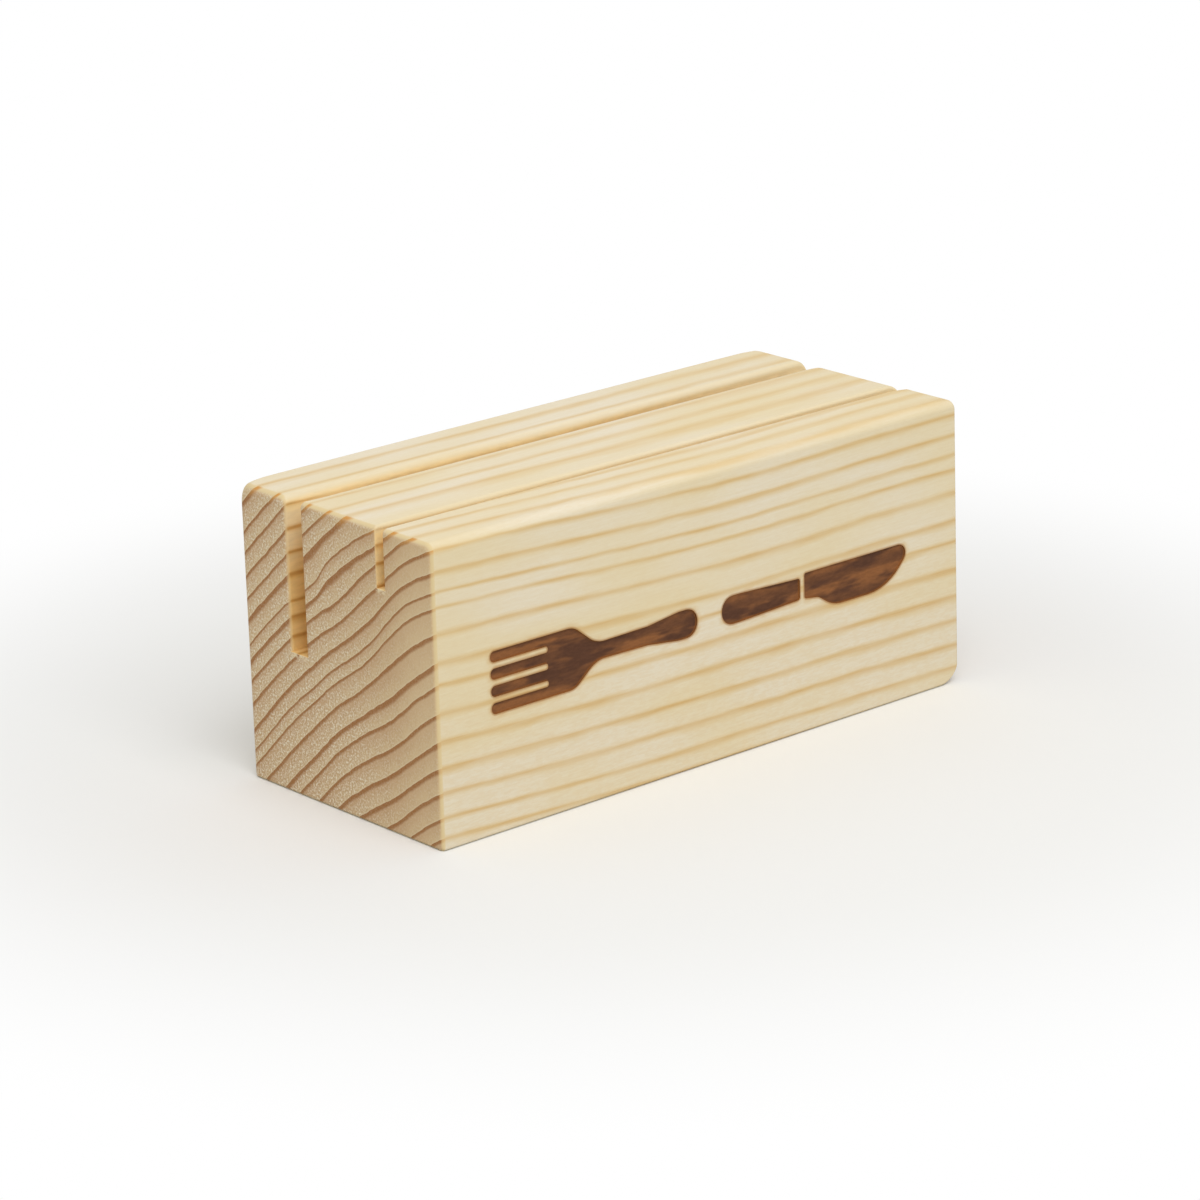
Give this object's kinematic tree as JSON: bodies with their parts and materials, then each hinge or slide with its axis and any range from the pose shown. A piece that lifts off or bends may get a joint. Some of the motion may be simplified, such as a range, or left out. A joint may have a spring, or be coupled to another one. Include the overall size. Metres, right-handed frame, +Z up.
{
  "type": "menu holder",
  "caption": "Free-standing block of pale softwood with a deep slot along its top that holds a menu upright and a shallow slot in front of it for a card.",
  "frame": {"origin": "middle of the underside, where the block stands on the table", "axes": "+X along the slots, front face towards -Y, +Z up"},
  "size_m": [0.136, 0.059, 0.06],
  "materials": {
    "softwood": "planed and fine-sanded, unvarnished"
  },
  "bodies": {
    "root": {"slotted_block": "softwood"}
  },
  "joints": []
}
